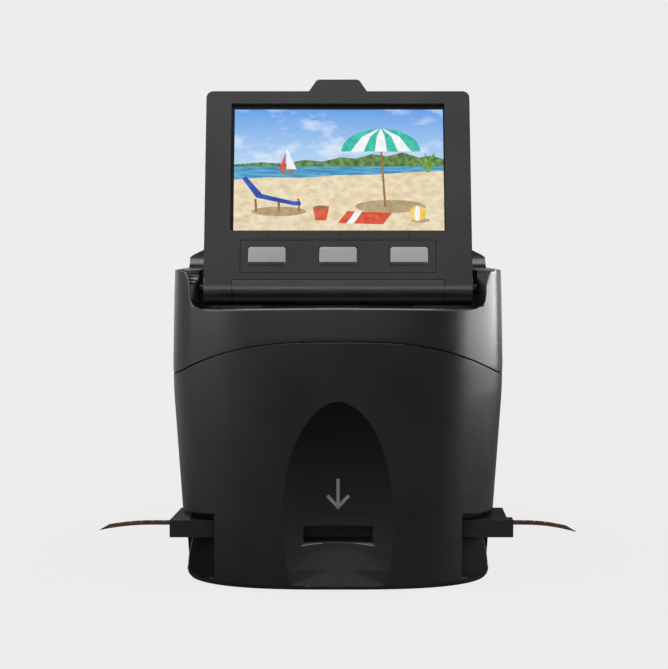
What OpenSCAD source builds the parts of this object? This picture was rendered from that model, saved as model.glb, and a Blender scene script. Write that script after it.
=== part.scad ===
// Tilt-screen film scanner: moulded two-part housing, flip-up screen with three
// keys, and a film holder that slides through a port low in both sides.
// Millimetres, +Z up. The origin is on the surface below the middle of the housing.

/* [Screen] */
// Width of the display opening
lcd_w = 82; // [70:0.5:98]
// Height of the display opening
lcd_h = 51; // [43:0.5:61]
// Housing left of and right of the display opening
screen_side = 9.8; // [8:0.1:14]
// Housing above the display opening
screen_head = 5.3; // [4.5:0.1:8]
// Housing between the hinge axis and the display opening, which holds the keys
key_strip = 21.1; // [20.5:0.1:27]
// Thickness of the screen housing
screen_t = 13; // [12.5:0.1:16]
// Face thickness and wall of the screen housing
screen_wall = 2; // [1.6:0.1:2.4]
// Corner radius of the screen housing
screen_r = 2.7; // [1:0.1:5]
// Height of the finger tab above the screen housing
tab_h = 4.8; // [3:0.1:6]
// Width of the finger tab where it leaves the housing
tab_w = 22.4; // [16:0.1:30]
// How far the open screen leans back from upright
screen_tilt = 19.3; // [10:0.1:25]

/* [Keys] */
// Width of a soft key
key_w = 14.2; // [12:0.1:16]
// Height of a soft key
key_h = 7; // [5.6:0.1:8]
// Distance between neighbouring keys
key_pitch = 26.9; // [24:0.1:28]
// Distance from the hinge axis to the middle of the keys
key_mid = 10.9; // [10.2:0.1:11.4]
// Travel of a soft key
key_travel = 0.8; // [0.4:0.1:0.8]
// Gap round a key in its bezel
key_gap = 0.25; // [0.15:0.05:0.35]

/* [Housing] */
// Thickness of the moulded housing walls
wall = 2.4; // [2:0.1:3]
// Width of each hollow side wall beside the screen well
side_w = 11; // [10:0.1:14]
// Gap between the screen and the wall of its well
well_gap = 1.7; // [1.2:0.1:2.5]
// Distance from the front of the housing to the hinge axis
hinge_inset = 22; // [19:0.5:26]
// Depth of the deck behind the screen well
deck_d = 19.6; // [17:0.1:24]
// How much narrower than at the seam each side is at the foot
foot_taper = 5.2; // [3:0.1:8]
// How much narrower than at the seam each side is at the top
top_taper = 1.2; // [0:0.1:2]
// Depth over which the front bows back to the sides
bow_d = 30; // [26:1:34]
// Height of the front rim above the floor of the screen well
rim_h = 2.8; // [2:0.1:4]
// Height of the front apron from its rim down to the seam
apron_h = 12.4; // [9:0.1:16]
// How far the seam falls from the middle of the front to the sides
seam_drop = 15.5; // [8:0.5:20]
// Width of the groove along the seam
seam_gap = 0.6; // [0.3:0.1:1]
// Height of the deck above the face of the closed screen
deck_rise = 5; // [4:0.1:6]
// How far the top of each side wall falls from the hinge to the deck
dip_d = 4.2; // [2:0.1:5.5]
// Width of the flare where each well wall meets the front
flare_w = 3; // [2:0.1:4]

/* [Stack of heights] */
// Height of the feet below the housing
foot_h = 1.2; // [0.8:0.1:3]
// Height from the underside of the housing to the film holder
light_h = 17.8; // [16.5:0.1:22]
// Height from the film holder to the top of the sensor board
optics_h = 62; // [52:0.5:75]
// Room for wiring between the sensor board and the screen well
head_room = 14.8; // [9:0.1:20]

/* [Scoop and window] */
// Widest width of the front scoop
scoop_w = 42.4; // [34:0.1:50]
// Width of the scoop at the foot
scoop_foot_w = 37.8; // [30:0.1:40]
// Height of the scoop above its widest line
scoop_rise = 43.6; // [36:0.1:46]
// Depth of the scoop
scoop_d = 4.6; // [3:0.1:5]
// Width of the film window
window_w = 28.3; // [24:0.1:32]
// Height of the film window
window_h = 7.9; // [6.6:0.1:8.4]
// Width of the bevel round the film window
window_bevel = 1.3; // [0.8:0.1:1.6]

/* [Film holder] */
// Length of the holder in front, where its end lips are
holder_l = 130.6; // [126:0.1:150]
// Depth of the holder, front to back
holder_d = 24.8; // [22:0.1:28]
// Thickness of the closed holder
holder_t = 6.6; // [6:0.1:8]
// How far the middle of the holder stands to the right of the housing's middle
holder_shift = 1.3; // [0:0.1:2]
// Running gap between the holder and its track
holder_gap = 0.4; // [0.3:0.05:0.6]
// Width of the film
film_w = 8; // [8:0.01:8]
// Thickness of the film
film_t = 0.15; // [0.1:0.01:0.2]
// Length of film that shows to the left and right of the middle
film_half = 91.6; // [80:0.1:110]
// Distance between two perforations
film_pitch = 4.23; // [4.23:0.01:4.23]
// Corner recess: how far its inner wall stands from the middle
notch_x = 46.8; // [43:0.1:50]
// Corner recess: depth behind the housing's skin
notch_d = 3.2; // [2:0.1:4.5]

/* [Hinge and fasteners] */
// Diameter of the hinge shafts
shaft_d = 4; // [3:0.1:5]
// Running clearance of a hinge shaft on its radius
shaft_fit = 0.05; // [0.02:0.01:0.08]
// Thickness of the hinge brackets
bracket_t = 1.6; // [1.2:0.1:2]
// Diameter of the screws
screw_d = 2.5; // [2:0.1:3]
// Thickness of the circuit boards
board_t = 1.6; // [1:0.1:2]

/* [Hidden] */

$fn = 48;
eps = 0.01;
slice_t = 0.05;
seam_d = 0.7;
front_steps = 36;
rear_steps = 18;

charcoal = "#3a3a3c";
black = "#161617";
dark_face = "#434345";
key_grey = "#a7a9a9";
steel = "#b4b6ba";
board_green = "#1f5a3a";
rubber = "#1b1b1b";

// Screen housing
screen_w = lcd_w + 2 * screen_side;
screen_h = key_strip + lcd_h + screen_head;
barrel_r = screen_t / 2;
barrel_half = lcd_w / 2 - 0.9;
seat_gap = 0.2;
split_y = 1.5;
screen_foot = 1.9;
barrel_step = 0.05;
tab_corner = 2;
tab_slope = 4.2;
screen_boss_r = 2.2;
boss_merge = 0.3;
tab_touch = 0.02;
bezel_t = 1.5;
bezel_w = 2 * key_pitch + key_w + 6.2;
bezel_h = key_h + 6;
key_flange = 0.8;
cap_back = -barrel_r + bezel_t + 0.15;
cap_front = -barrel_r - 1.1;
plunger_l = 0.4;
key_board_half = bezel_w / 2 + 2.9;
key_board_posts = [-key_board_half + 1.5, -key_pitch / 2, key_pitch / 2, key_board_half - 1.5];
switch_t = 0.6;
switch_y = cap_back + key_flange + plunger_l + key_travel;

// Housing in plan: the front bows as a superellipse, the rear has round corners
body_w = screen_w + 2 * well_gap + 2 * side_w + 0.2;
body_d = hinge_inset + screen_h + 1 + deck_d;
seam_half = body_w / 2;
front_y = -body_d / 2;
rear_y = body_d / 2;
rear_bow = 16;
hinge_y = front_y + hinge_inset;
well_half = screen_w / 2 + well_gap;
well_rear = hinge_y + screen_h + 1.2;
well_front = hinge_y - barrel_r - 5.5;
well_wall = 2.2;
swoop_r = 5.5;
bracket_boss = 2.3;
bracket_front = hinge_y - 3.3;
bracket_d = 14;
bracket_h = 13.4;
bracket_holes = [hinge_y - 0.9, hinge_y + 8.1];

// Heights
base_t = 2.5;
base_top = foot_h + base_t;
holder_z = foot_h + light_h;
holder_top = holder_z + holder_t;
film_z = holder_z + holder_t / 2;
sensor_z = holder_top + optics_h;
floor_z = sensor_z + head_room + well_wall;
axis_z = floor_z + 1.9 + barrel_r;
face_z = axis_z + barrel_r;
deck_z = face_z + deck_rise;
horn_z = face_z + 0.8;
rim_z = floor_z + rim_h;
seam_mid_z = rim_z - apron_h;
seam_edge_z = seam_mid_z - seam_drop;

// Film holder and its path
holder_front = front_y + 12;
holder_rear = holder_front + holder_d;
film_y = holder_front + 12;
rail_t = 1.6;
click_at = [-36, 36];
slot_front = holder_front - holder_gap;
slot_rear = holder_rear + holder_gap;
slot_low = holder_z - holder_gap;
slot_top = holder_top + 0.6;
notch_low = foot_h + 3;
notch_top = holder_top + 3.3;
notch_fall = 1.2;
notch_rear = slot_rear + 1.6;
pin_d = 1.5;
lug_size = [5.2, 6, 2];
holder_left = holder_shift - holder_l / 2;
holder_right = holder_shift + holder_l / 2;

// Scoop
scoop_low = foot_h + 1.6;
scoop_run = 26.2;
scoop_mid = scoop_low + scoop_run;
scoop_top = scoop_mid + scoop_rise;
scoop_lift = 0.15;

// Fasteners and feet
foot_r = 5.5;
base_boss_r = 3.2;
base_front_boss = [38, front_y + 12];
base_rear_boss = [seam_half - 14.5, rear_y - 15];
foot_at = [[41, front_y + 22], [41, rear_y - 17]];

// Circuit boards
light_board_z = base_top + 2.4;
main_board_z = base_top + 4.3;
main_half = 44;
main_front = notch_rear + 8;
main_rear = rear_y - wall - 1.2;
socket_z = main_board_z + board_t;
usb_x = -30;
video_x = -13;
card_x = 18;
board_hole = 4.5;
sensor_half = 15;
sensor_post = 11.2;
tower_r = 14;
tower_wall = 1.6;
lens_z = holder_top + 0.55 * optics_h;
power_at = [38, rear_y - 10.5];
power_r = 4.6;
power_column = 9.4;

function sgn(v) = v < 0 ? -1 : 1;
function softened(z) = 0.3 * pow(max(0, 1 - abs(z - seam_edge_z) / 10), 2);
function half_at(z) = min(
    seam_half - foot_taper * (seam_edge_z - z) / (seam_edge_z - foot_h),
    seam_half - top_taper * (z - seam_edge_z) / (deck_z - seam_edge_z)) - softened(z);
function lean(z) = 2 * pow(max(0, z - seam_mid_z) / (deck_z - seam_mid_z), 1.5);
function front_at(x, z) = front_y + lean(z)
    + bow_d * (1 - pow(max(0, 1 - pow(abs(x) / half_at(z), 3)), 0.46));
function plan(z, inset) = let (hw = half_at(z) - inset, fy = lean(z))
    concat(
        [for (i = [0 : front_steps]) let (t = i * 180 / front_steps)
            [hw * sgn(cos(t)) * pow(abs(cos(t)), 2 / 3),
             front_y + bow_d + fy * (sin(t)) - (bow_d - inset) * pow(abs(sin(t)), 0.92)]],
        [for (i = [1 : rear_steps - 1]) let (t = i * 180 / rear_steps)
            [-hw * sgn(cos(t)) * pow(abs(cos(t)), 0.4),
             rear_y - rear_bow + (rear_bow - inset) * pow(abs(sin(t)), 0.9)]]);
function seam_at(x) = seam_mid_z - seam_drop * pow(min(1, abs(x) / seam_half), 3);
function wall_top(y) = let (fall = well_rear - swoop_r - hinge_y + 4,
    s = min(1, max(0, (y - hinge_y + 4) / fall)),
    t = min(1, max(0, (y - well_rear + swoop_r) / (swoop_r + 0.4))))
    horn_z - dip_d * s + (deck_z + 1 - horn_z + dip_d) * (1 - sqrt(1 - t * t));
function scoop_half(z) = z > scoop_mid
    ? scoop_w / 2 * sqrt(max(0, 1 - pow((z - scoop_mid) / scoop_rise, 2)))
    : scoop_w / 2 - (scoop_w - scoop_foot_w) / 2 * pow((scoop_mid - z) / scoop_run, 2);
function scoop_depth(z) = z > scoop_mid
    ? scoop_d * sqrt(max(0, 1 - pow((z - scoop_mid) / scoop_rise, 2)))
    : 0.4 + (scoop_d - 0.4) * sin(90 * (z - scoop_low) / scoop_run);

// ---- Housing forms ----

module slice(level) {
    translate([0, 0, level[0]]) linear_extrude(slice_t) polygon(plan(level[0], level[1]));
}

// Levels are pairs of a height and an inset from the outer skin
module loft(levels) {
    for (i = [0 : len(levels) - 2])
        hull() {
            slice(levels[i]);
            translate([0, 0, -slice_t]) slice(levels[i + 1]);
        }
}

module outer_form() {
    loft([[foot_h, 1.8], [foot_h + 0.4, 0.9], [foot_h + 1.1, 0.25], [foot_h + 2.2, 0],
        [seam_edge_z - 10, 0], [seam_edge_z - 5, 0], [seam_edge_z, 0],
        [seam_edge_z + 5, 0], [seam_mid_z + 2, 0], [face_z - 8, 0], [deck_z - 4.4, 0.1],
        [deck_z - 3.8, 0.9], [deck_z - 1.9, 4.7], [deck_z - 0.8, 6.8], [deck_z - 0.2, 9],
        [deck_z, 12]]);
}

module inner_form(gap) {
    loft([[base_top, gap], [seam_edge_z - 3, gap], [seam_mid_z + 1, gap], [deck_z - 9, gap],
        [deck_z - gap - 3.6, gap], [deck_z - gap - 0.5, gap + 5.6], [deck_z - gap, gap + 10]]);
}

// Everything under the arched seam, moved by dz
module under_seam(dz) {
    translate([0, rear_y + 5, 0]) rotate([90, 0, 0]) linear_extrude(body_d + 10)
        polygon(concat([[seam_half + 5, -5], [-seam_half - 5, -5]],
            [for (i = [-16 : 16]) let (x = i / 16 * (seam_half + 5)) [x, seam_at(x) + dz]]));
}

module seam_groove() {
    difference() {
        under_seam(seam_gap / 2);
        under_seam(-seam_gap / 2);
        loft([[seam_edge_z - 2, seam_d], [seam_edge_z + 6, seam_d], [seam_mid_z + 3, seam_d]]);
    }
}

// ---- Lower housing ----

// One slice of the scoop: a shallow flute cut into the bowed front
module scoop_slice(z, grow) {
    half = max(0.3, scoop_half(z)) + grow;
    depth = scoop_depth(z) + grow;
    translate([0, 0, z]) linear_extrude(slice_t)
        polygon(concat([[half, front_y - 20], [-half, front_y - 20]],
            [for (i = [-8 : 8]) let (x = i / 8 * half)
                [x, front_at(x, z) + depth * (1 - pow(x / half, 2)) - scoop_lift]]));
}

module scoop(grow) {
    rise = [0, 0.2, 0.4, 0.58, 0.74, 0.86, 0.94, 0.985, 1];
    levels = concat([scoop_low, scoop_low + 6, scoop_low + 13, scoop_low + 20],
        [for (r = rise) scoop_mid + r * scoop_rise]);
    for (i = [0 : len(levels) - 2])
        hull() {
            scoop_slice(levels[i], grow);
            translate([0, 0, -slice_t]) scoop_slice(levels[i + 1], grow);
        }
}

module window_cut() {
    bottom = slot_low - 1.2;
    translate([0, front_y + 3.2, bottom]) rotate([90, 0, 0]) hull() {
        translate([-window_w / 2, 0, 1.6]) cube([window_w, window_h, 8]);
        translate([-window_w / 2 + window_bevel, window_bevel, -0.2])
            cube([window_w - 2 * window_bevel, window_h - window_bevel - 0.2, eps]);
    }
    translate([-window_w / 2 + window_bevel, front_y + 2, bottom + window_bevel])
        cube([window_w - 2 * window_bevel, 12, window_h - window_bevel - 0.2]);
}

// The corner recess that the holder comes out of, mirrored to both sides
module notch_zone(grow) {
    for (side = [-1, 1])
        scale([side, 1, 1])
            translate([0, notch_rear + grow, 0]) rotate([90, 0, 0]) linear_extrude(60)
                polygon([[notch_x - grow, notch_low - grow], [seam_half + 9, notch_low - grow],
                    [seam_half + 9, notch_top - notch_fall + grow],
                    [seam_half - 5, notch_top - notch_fall + grow],
                    [notch_x - grow, notch_top + grow]]);
}

// The recessed skin inside the corner recess, which comes out to the foot
module notch_core(gap) {
    loft([[foot_h + 1.4, notch_d * 0.08 + gap], [foot_h + 5, notch_d * 0.14 + gap],
        [foot_h + 9, notch_d * 0.36 + gap], [foot_h + 13, notch_d * 0.7 + gap],
        [holder_z - 1, notch_d + gap], [notch_top + 6, notch_d + gap]]);
}

module holder_slot() {
    translate([-seam_half - 5, slot_front, slot_low])
        cube([body_w + 10, slot_rear - slot_front, slot_top - slot_low]);
}

module base_bosses(r, low, high) {
    for (side = [-1, 1]) {
        translate([side * base_front_boss[0], base_front_boss[1], low])
            cylinder(r = r, h = high - low);
        translate([side * base_rear_boss[0], base_rear_boss[1], low])
            cylinder(r = r, h = high - low);
    }
}

module rear_ports() {
    translate([usb_x - 4.9, rear_y - 12, socket_z - 0.3]) cube([9.8, 20, 4]);
    translate([video_x - 6.1, rear_y - 12, socket_z - 0.3]) cube([12.2, 20, 4.1]);
    translate([card_x - 13.2, rear_y - 12, socket_z - 0.2]) cube([26.4, 20, 3.6]);
}

module lower_housing() {
    color(charcoal) difference() {
        intersection() {
            union() {
                difference() {
                    outer_form();
                    notch_zone(0);
                }
                intersection() {
                    notch_core(0);
                    notch_zone(1);
                }
            }
            under_seam(0);
        }
        difference() {
            inner_form(wall);
            notch_zone(wall);
            scoop(wall + scoop_lift);
            for (side = [-1, 1]) {
                translate([side * base_front_boss[0], base_front_boss[1], 0])
                    cylinder(r = base_boss_r, h = slot_low - 3);
                translate([side * base_rear_boss[0], base_rear_boss[1], 0])
                    cylinder(r = base_boss_r, h = 26);
                translate([side * (base_rear_boss[0] + 6), base_rear_boss[1], 13])
                    cube([12, 1.8, 26], center = true);
                translate([side * base_front_boss[0] - 0.9, base_front_boss[1] - 12, 0])
                    cube([1.8, 12, slot_low - 3]);
            }
        }
        intersection() {
            notch_core(wall);
            notch_zone(wall + 1);
            translate([-80, -80, base_top]) cube([160, 160, notch_top - notch_fall - base_top]);
        }
        translate([0, 0, foot_h - 1]) linear_extrude(base_t + 1 + slice_t)
            polygon(plan(foot_h + 2, 4));
        scoop(0);
        window_cut();
        holder_slot();
        lug(holder_gap, 60);
        rear_ports();
        seam_groove();
        base_bosses(screw_d / 2 - 0.1, base_top - 1, slot_low - 5);
    }
}

// ---- Upper housing ----

module well_plan(grow) {
    translate([-well_half - grow, front_y - 20])
        square([2 * (well_half + grow), well_rear + grow - front_y + 20]);
}

// The mouth in the front wall, down to the rim
module mouth_front() {
    offset(r = 1) offset(delta = -1)
        polygon(concat([[well_half, deck_z + 20], [-well_half, deck_z + 20]],
            [for (i = [-6 : 6]) let (x = i / 6 * well_half)
                [x, rim_z - 1.1 * pow(i / 6, 2)]]));
}

// One level of the flare: the front skin rolls into the well wall between two points
module flare_slice(z) {
    edge = well_half + flare_w * flare_at(z);
    from = [edge, front_at(edge, z)];
    to = [well_half, bracket_front - 0.9];
    bend = from + [0.75 * (to[0] - from[0]), 0.25 * (to[1] - from[1])];
    translate([0, 0, z]) linear_extrude(slice_t)
        polygon(concat([[well_half - 2, front_y - 5], [edge + 0.1, front_y - 5]],
            [for (t = [0 : 0.2 : 1])
                (1 - t) * (1 - t) * from + 2 * t * (1 - t) * bend + t * t * to],
            [[well_half - 2, to[1]]]));
}

// Share of its width that the flare has: none at the rim, most at the top of each horn
function flare_at(z) = let (foot = min(1, max(0, (z - rim_z + 0.6) / 5)),
    head = max(0, (z - rim_z - 6) / (horn_z - rim_z - 6)))
    0.08 + 0.94 * sqrt(1 - (1 - foot) * (1 - foot)) + 0.75 * pow(head, 2.4);

module mouth_flare() {
    heights = [-0.6, -0.35, 0.1, 0.9, 2.2, 4.4, 6, 7.6, 9, 10.2, 11.2, 12.1, 12.95, 16];
    for (side = [-1, 1], i = [0 : len(heights) - 2])
        scale([side, 1, 1]) hull() {
            flare_slice(rim_z + heights[i]);
            translate([0, 0, -slice_t]) flare_slice(rim_z + heights[i + 1]);
        }
}

module wall_top_cut(down) {
    translate([-seam_half - 5, 0, 0]) rotate([90, 0, 90]) linear_extrude(body_w + 10)
        polygon(concat([[well_rear + 1, deck_z + 20], [front_y - 5, deck_z + 20],
            [front_y - 5, horn_z - 5 - down], [front_y + 6, horn_z - 2 - down],
            [front_y + 10, horn_z - 0.5 - down]],
            [for (i = [0 : 4]) let (y = hinge_y - 4 + i * (well_rear - swoop_r - hinge_y + 4) / 4.2)
                [y, wall_top(y) - down]],
            [for (i = [0 : 10]) let (y = well_rear - swoop_r + (swoop_r + 0.4) * sin(i * 9))
                [y, wall_top(y) - down]]));
}

// Pocket behind the well for the finger tab, with a scoop for the finger
module tab_relief(grow) {
    half = tab_w / 2 + 1.6 + grow;
    translate([-half, well_rear - 8, floor_z - grow])
        cube([2 * half, 8 + tab_h + 0.4 + grow, 40]);
    translate([-half, well_rear + tab_h, deck_z + 1]) rotate([0, 90, 0])
        cylinder(r = 8 + grow, h = 2 * half);
}

module well_cut() {
    translate([0, hinge_y, 0]) rotate([90, 0, 0]) linear_extrude(hinge_inset + 30) mouth_front();
    mouth_flare();
    translate([0, 0, floor_z]) linear_extrude(60)
        offset(r = 3) offset(delta = -3)
            translate([-well_half, well_front]) square([2 * well_half, well_rear - well_front]);
    wall_top_cut(0);
    tab_relief(0);
}

// Low rests on the rim, which the barrel of the screen clears
module rim_pads() {
    for (x = [-36, 0, 36])
        translate([x - 8, front_at(x, rim_z) + 2.6, rim_z - 2]) cube([16, 3, 2.4]);
}

module upper_cavity() {
    difference() {
        inner_form(wall);
        translate([0, 0, floor_z - well_wall]) linear_extrude(60) well_plan(well_wall);
        translate([-seam_half, front_y - 5, floor_z - well_wall])
            cube([body_w, bracket_front - 0.2 - front_y + 5, 60]);
        wall_top_cut(wall);
        tab_relief(well_wall);
        translate([power_at[0], power_at[1], deck_z - power_column])
            cylinder(r = power_r + 3, h = 20);
    }
}

// Room in the side walls for the hinge brackets
module bracket_room() {
    for (side = [-1, 1])
        scale([side, 1, 1]) translate([well_half + well_wall + 0.3, 0, 0]) {
            translate([0, bracket_front - 0.15, floor_z - 1.15])
                cube([bracket_t - 0.15, bracket_d + 0.3, bracket_h + 0.3]);
            translate([0, hinge_y, axis_z]) rotate([0, 90, 0])
                cylinder(d = shaft_d + 2.7, h = bracket_boss - 0.1);
        }
}

module upper_housing() {
    color(charcoal) difference() {
        union() {
            difference() {
                outer_form();
                well_cut();
            }
            rim_pads();
        }
        under_seam(0);
        upper_cavity();
        bracket_room();
        seam_groove();
        for (side = [-1, 1])
            scale([side, 1, 1]) translate([well_half - 1, hinge_y, axis_z])
                rotate([0, 90, 0]) cylinder(d = shaft_d + 1.2, h = well_wall + 2);
        for (side = [-1, 1], y = bracket_holes)
            scale([side, 1, 1]) translate([well_half + 0.4, y, floor_z + 1.6])
                rotate([0, 90, 0]) cylinder(d = 1.5, h = well_wall);
        translate([power_at[0], power_at[1], deck_z - 30]) {
            cylinder(r = power_r + 0.3, h = 40);
            cylinder(r = power_r + 1.5, h = 26.3);
        }
    }
}

// ---- Base ----

module base_plate() {
    color(black) difference() {
        union() {
            translate([0, 0, foot_h]) linear_extrude(base_t)
                polygon(plan(foot_h + 2, 4 + seat_gap));
            for (side = [-1, 1], y = [film_y - 8, film_y + 8])
                translate([side * 26, y, base_top]) cylinder(r = 2.4, h = light_board_z - base_top);
            main_board_points() cylinder(r = 2.6, h = main_board_z - base_top);
        }
        base_bosses(screw_d / 2 + 0.2, foot_h - 1, base_top + 1);
        base_bosses(screw_d + 0.2, foot_h - 1, foot_h + 1.2);
        foot_points() cylinder(r = foot_r + 0.1, h = 0.8);
        for (side = [-1, 1], y = [film_y - 8, film_y + 8])
            translate([side * 26, y, base_top - 1]) cylinder(d = screw_d - 0.4, h = 8);
        main_board_points() translate([0, 0, -1]) cylinder(d = screw_d - 0.4, h = 8);
        for (i = [-4 : 4])
            translate([i * 6 - 1, 4, foot_h - 1]) cube([2, 22, base_t + 2]);
    }
}

module main_board_points() {
    for (side = [-1, 1], y = [main_front + board_hole, main_rear - 12])
        translate([side * (main_half - board_hole), y, base_top]) children();
}

module foot_points() {
    for (side = [-1, 1], p = foot_at)
        translate([side * p[0], p[1], foot_h]) children();
}

module rubber_feet() {
    color(rubber) foot_points() translate([0, 0, -foot_h])
        rotate_extrude() polygon([[0, 0], [foot_r - 0.5, 0], [foot_r, 0.5],
            [foot_r, foot_h + 0.8], [0, foot_h + 0.8]]);
}

// A pan-head screw with its head's underside at the origin, pointing up
module screw(length, d = screw_d) {
    difference() {
        union() {
            translate([0, 0, -0.1]) cylinder(d = d - 0.5, h = length + 0.1);
            translate([0, 0, -1]) cylinder(d = 2 * d - 0.4, h = 1);
        }
        for (a = [0, 90])
            rotate([0, 0, a]) translate([-d * 0.55, -0.3, -1.1]) cube([d * 1.1, 0.6, 0.7]);
    }
}

module base_screws() {
    color(steel) for (side = [-1, 1], p = [base_front_boss, base_rear_boss])
        translate([side * p[0], p[1], foot_h + 1.2]) screw(9);
}

// ---- Film path ----

module film_track() {
    half = notch_x - wall - 0.4;
    bed = 3;
    color(black) difference() {
        union() {
            translate([-half, slot_front, slot_low - bed])
                cube([2 * half, slot_rear - slot_front, bed]);
            translate([-half, slot_front - rail_t, slot_low - bed])
                cube([2 * half, rail_t, slot_top - slot_low + bed]);
            translate([-half, slot_rear, slot_low - bed])
                cube([2 * half, rail_t, slot_top - slot_low + bed]);
            for (side = [-1, 1])
                translate([side * (half - 5), film_y, base_top])
                    translate([-1.5, -8, 0]) cube([3, 16, slot_low - bed - base_top]);
        }
        translate([-16, film_y - 9, slot_low - bed - 1]) cube([32, 18, bed + 2]);
        translate([-18.2, film_y - 10.2, slot_low - bed - 1]) cube([36.4, 20.4, 3.2]);
        translate([-window_w / 2 + window_bevel, slot_front - rail_t - 1, slot_low - 0.2])
            cube([window_w - 2 * window_bevel, rail_t + 1.5, window_h]);
        for (x = click_at)
            translate([x - 2.2, slot_rear - 1, slot_low + 1.6]) cube([4.4, rail_t + 2, 4.2]);
    }
}

module gate_roof() {
    color(black) difference() {
        union() {
            translate([-30, slot_front - rail_t, slot_top])
                cube([60, slot_rear - slot_front + 2 * rail_t, 2.4]);
            translate([0, film_y, slot_top + 2.4 - eps]) cylinder(r = tower_r + 1.8, h = 1.6);
        }
        translate([-7, film_y - 5, slot_top - 1]) cube([14, 10, 8]);
        translate([0, film_y, slot_top + 2.4]) cylinder(r = tower_r + seat_gap / 2, h = 4);
    }
}

// Leaf springs whose humps stand in the click notches on the back edge of the holder
module detent_springs() {
    color(steel) for (x = click_at)
        translate([x, slot_rear + rail_t, slot_low + 2]) linear_extrude(3.4)
            polygon(concat([[6, 0], [6, 0.3], [-6, 0.3], [-6, 0], [-1.3, 0]],
                [for (i = [-4 : 4]) [i * 0.28, 0.12 - rail_t - holder_gap + abs(i) * 0.09]],
                [[1.3, 0]]));
}

module light_board() {
    color(board_green) difference() {
        translate([-29, film_y - 11, light_board_z]) cube([58, 22, board_t]);
        for (side = [-1, 1], y = [film_y - 8, film_y + 8])
            translate([side * 26, y, light_board_z - 1]) cylinder(d = screw_d, h = 5);
    }
}

module light_leds() {
    color("#f2efe2") for (i = [-2 : 2], y = [-4.5, 4.5])
        translate([i * 7 - 1.6, film_y + y - 1.4, light_board_z + board_t])
            cube([3.2, 2.8, 1]);
}

module light_diffuser() {
    color("#f6f6f2") translate([-18, film_y - 10, slot_low - 3])
        cube([36, 20, 2.2]);
}

// ---- Optics ----

module optics_tower() {
    low = slot_top + 2.4;
    shoulder = lens_z - 8;
    seat_r = 8;
    color(black) difference() {
        union() {
            translate([0, film_y, 0]) rotate_extrude()
                polygon([[tower_r - tower_wall, low], [tower_r, low], [tower_r, low + 8],
                    [seat_r + 2, shoulder], [seat_r + 2, lens_z + 9],
                    [sensor_half - 3, lens_z + 14], [sensor_half - 3, sensor_z - board_t],
                    [sensor_half - 4.6, sensor_z - board_t], [sensor_half - 4.6, lens_z + 14.8],
                    [seat_r, lens_z + 9.6], [seat_r, shoulder + 1], [seat_r - 1.5, shoulder + 1],
                    [seat_r - 1.5, shoulder], [tower_r - tower_wall, low + 7.4]]);
            for (a = [45 : 90 : 315])
                translate([0, film_y, 0]) rotate([0, 0, a])
                    translate([sensor_post, 0, sensor_z - board_t - 7])
                        cylinder(r = 2.6, h = 7);
        }
        for (a = [45 : 90 : 315])
            translate([0, film_y, 0]) rotate([0, 0, a])
                translate([sensor_post, 0, sensor_z - board_t - 6])
                    cylinder(d = screw_d - 0.4, h = 7);
    }
}

module lens_barrel() {
    r = 7.9;
    color("#2a2a2c") translate([0, film_y, 0]) rotate_extrude()
        polygon([[4.2, lens_z - 6.8], [r, lens_z - 6.8], [r, lens_z + 8], [r - 1, lens_z + 9],
            [3.4, lens_z + 9], [3.4, lens_z + 7.6], [5.6, lens_z + 7.6], [5.6, lens_z - 4],
            [4.2, lens_z - 4]]);
}

module lens_elements() {
    color("#a9c7d6") translate([0, film_y, 0]) {
        intersection() {
            translate([0, 0, lens_z + 12.5]) sphere(r = 14);
            translate([0, 0, lens_z - 9.5]) sphere(r = 14);
            translate([0, 0, lens_z - 3]) cylinder(r = 5.5, h = 9);
        }
        difference() {
            translate([0, 0, lens_z + 4.6]) cylinder(r = 5.5, h = 2.6);
            translate([0, 0, lens_z + 14.9]) sphere(r = 9);
        }
    }
}

module sensor_board() {
    color(board_green) difference() {
        translate([-sensor_half, film_y - sensor_half, sensor_z - board_t])
            cube([2 * sensor_half, 2 * sensor_half, board_t]);
        for (a = [45 : 90 : 315])
            translate([0, film_y, 0]) rotate([0, 0, a])
                translate([sensor_post, 0, sensor_z - board_t - 1])
                    cylinder(d = screw_d, h = board_t + 2);
    }
}

module image_sensor() {
    color("#3c3f52") {
        translate([-5, film_y - 4.5, sensor_z - board_t - 1.4]) cube([10, 9, 1.4]);
        translate([-4, film_y - 3.5, sensor_z - board_t - 2]) cube([8, 7, 0.6]);
    }
}

module sensor_screws() {
    color(steel) for (a = [45 : 90 : 315])
        translate([0, film_y, 0]) rotate([0, 0, a])
            translate([sensor_post, 0, sensor_z]) mirror([0, 0, 1]) screw(5.5);
}

// ---- Main board and sockets ----

module main_board() {
    color(board_green) difference() {
        translate([-main_half, main_front, main_board_z])
            cube([2 * main_half, main_rear - main_front, board_t]);
        main_board_points() cylinder(d = screw_d, h = 20);
        for (side = [-1, 1])
            translate([side * main_half, main_rear, main_board_z - 1])
                rotate([0, 0, 45]) cube([14, 14, 8], center = true);
    }
}

module board_chips() {
    color("#232326") {
        translate([-20, main_front + 14, socket_z]) cube([14, 14, 1.2]);
        translate([2, main_front + 16, socket_z]) cube([10, 12, 1.1]);
        translate([22, main_front + 10, socket_z]) cube([6, 5, 1]);
        translate([-36, main_front + 20, socket_z]) cylinder(r = 3, h = 6);
        translate([-36, main_front + 28, socket_z]) cylinder(r = 3, h = 6);
        translate([30, main_front + 20, socket_z]) cube([8, 8, 3]);
    }
}

module board_screws() {
    color(steel) {
        main_board_points() translate([0, 0, socket_z - base_top]) mirror([0, 0, 1]) screw(5.4);
        for (side = [-1, 1], y = [film_y - 8, film_y + 8])
            translate([side * 26, y, light_board_z + board_t]) mirror([0, 0, 1]) screw(3.8);
    }
}

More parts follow.
